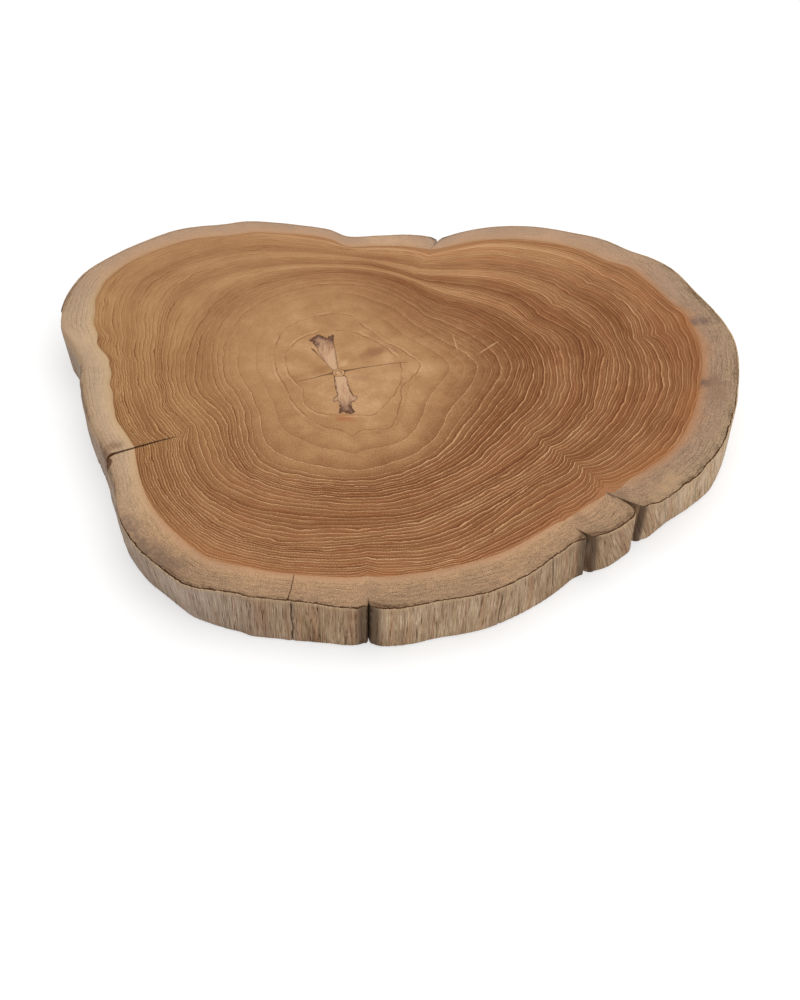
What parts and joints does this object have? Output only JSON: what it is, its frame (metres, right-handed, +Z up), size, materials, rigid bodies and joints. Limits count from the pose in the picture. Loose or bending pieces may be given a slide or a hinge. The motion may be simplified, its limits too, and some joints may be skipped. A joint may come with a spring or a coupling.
{
  "type": "cutting board",
  "caption": "Natural-edge wooden cutting board: one flat slice across a teak root, with its growth layers, clefts and drying check.",
  "frame": {"origin": "centre of the board's box, on the surface that it lies on", "axes": "+Z up out of the cutting face, +X along the board's long way, +Y away from the viewer of the picture"},
  "size_m": [0.3998, 0.3388, 0.032],
  "materials": {
    "heartwood": "sanded and oiled end grain",
    "sapwood": "sanded and oiled end grain",
    "pith": "soft open core",
    "branch_stub": "dead knot wood",
    "edge_skin": "rough fibrous natural edge"
  },
  "bodies": {
    "root": {"heartwood": "heartwood", "sapwood_rim": "sapwood", "pith": "pith", "rear_branch_stub": "branch_stub", "front_branch_stub": "branch_stub", "edge_skin_right": "edge_skin", "edge_skin_back": "edge_skin", "edge_skin_front_left": "edge_skin", "edge_skin_front": "edge_skin", "edge_skin_knuckle": "edge_skin"}
  },
  "joints": []
}
